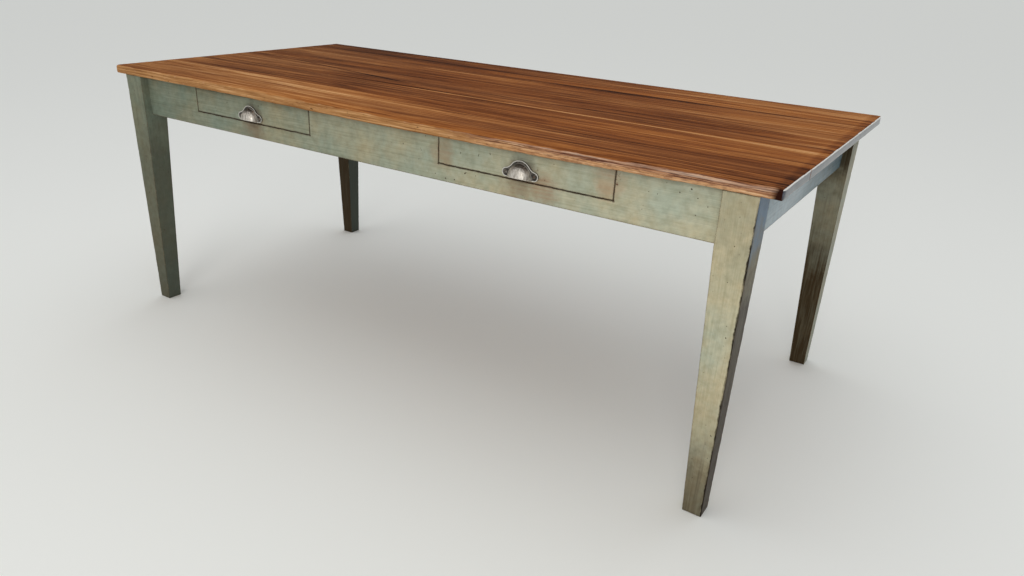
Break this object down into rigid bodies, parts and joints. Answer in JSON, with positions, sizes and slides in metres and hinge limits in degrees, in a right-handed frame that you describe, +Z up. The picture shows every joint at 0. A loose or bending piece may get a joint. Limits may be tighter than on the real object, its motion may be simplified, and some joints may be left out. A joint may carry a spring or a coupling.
{
  "type": "kitchen table with drawers",
  "caption": "Farmhouse kitchen table with a boarded, stained wood top, sage-painted aprons and tapered legs, and shallow apron drawers with cup pulls.",
  "frame": {"origin": "on the floor below the middle of the table", "axes": "+X along the table, +Y from the drawer side to the back, +Z up"},
  "size_m": [2.066, 0.962, 0.775],
  "materials": {
    "top_wood": "stained and varnished old boards, satin, with dark grain and worn edges",
    "painted_wood": "brushed sage-green paint, matt, rubbed through at the edges",
    "bare_wood": "planed pine, unfinished",
    "pull_iron": "aged cast metal, dark in the recesses and polished where hands rub",
    "screw_steel": "dull steel"
  },
  "bodies": {
    "frame": {"top_board_front": "top_wood", "top_board_front_middle": "top_wood", "top_board_middle": "top_wood", "top_board_back_middle": "top_wood", "top_board_back": "top_wood", "batten_left": "bare_wood", "batten_middle": "bare_wood", "batten_right": "bare_wood", "batten_screws": "screw_steel", "leg_front_left": "painted_wood", "leg_front_right": "painted_wood", "leg_back_left": "painted_wood", "leg_back_right": "painted_wood", "back_apron": "painted_wood", "left_apron": "painted_wood", "right_apron": "painted_wood", "front_rail_lower": "painted_wood", "front_stile_left": "painted_wood", "front_stile_middle": "painted_wood", "front_stile_right": "painted_wood", "corner_block_front_left": "painted_wood", "corner_block_front_right": "bare_wood", "corner_block_back_left": "bare_wood", "corner_block_back_right": "bare_wood", "corner_block_screws": "screw_steel", "runner_left_drawer_left": "bare_wood", "runner_left_drawer_right": "bare_wood", "guide_left_drawer_left": "bare_wood", "guide_left_drawer_right": "bare_wood", "left_drawer_stops": "bare_wood", "runner_right_drawer_left": "bare_wood", "runner_right_drawer_right": "bare_wood", "guide_right_drawer_left": "bare_wood", "guide_right_drawer_right": "bare_wood", "right_drawer_stops": "bare_wood"},
    "left_drawer": {"left_drawer_front": "painted_wood", "left_drawer_side_left": "bare_wood", "left_drawer_side_right": "bare_wood", "left_drawer_back": "bare_wood", "left_drawer_bottom": "bare_wood", "left_drawer_nails": "screw_steel", "left_drawer_pull": "pull_iron", "left_drawer_pull_screws": "screw_steel"},
    "right_drawer": {"right_drawer_front": "painted_wood", "right_drawer_side_left": "bare_wood", "right_drawer_side_right": "bare_wood", "right_drawer_back": "bare_wood", "right_drawer_bottom": "bare_wood", "right_drawer_nails": "screw_steel", "right_drawer_pull": "pull_iron", "right_drawer_pull_screws": "screw_steel"}
  },
  "joints": [
    {"name": "left_drawer_slide", "type": "slide", "parent": "frame", "child": "left_drawer", "axis": [0, -1, 0], "range_m": [0, 0.3]},
    {"name": "right_drawer_slide", "type": "slide", "parent": "frame", "child": "right_drawer", "axis": [0, -1, 0], "range_m": [0, 0.3]}
  ]
}
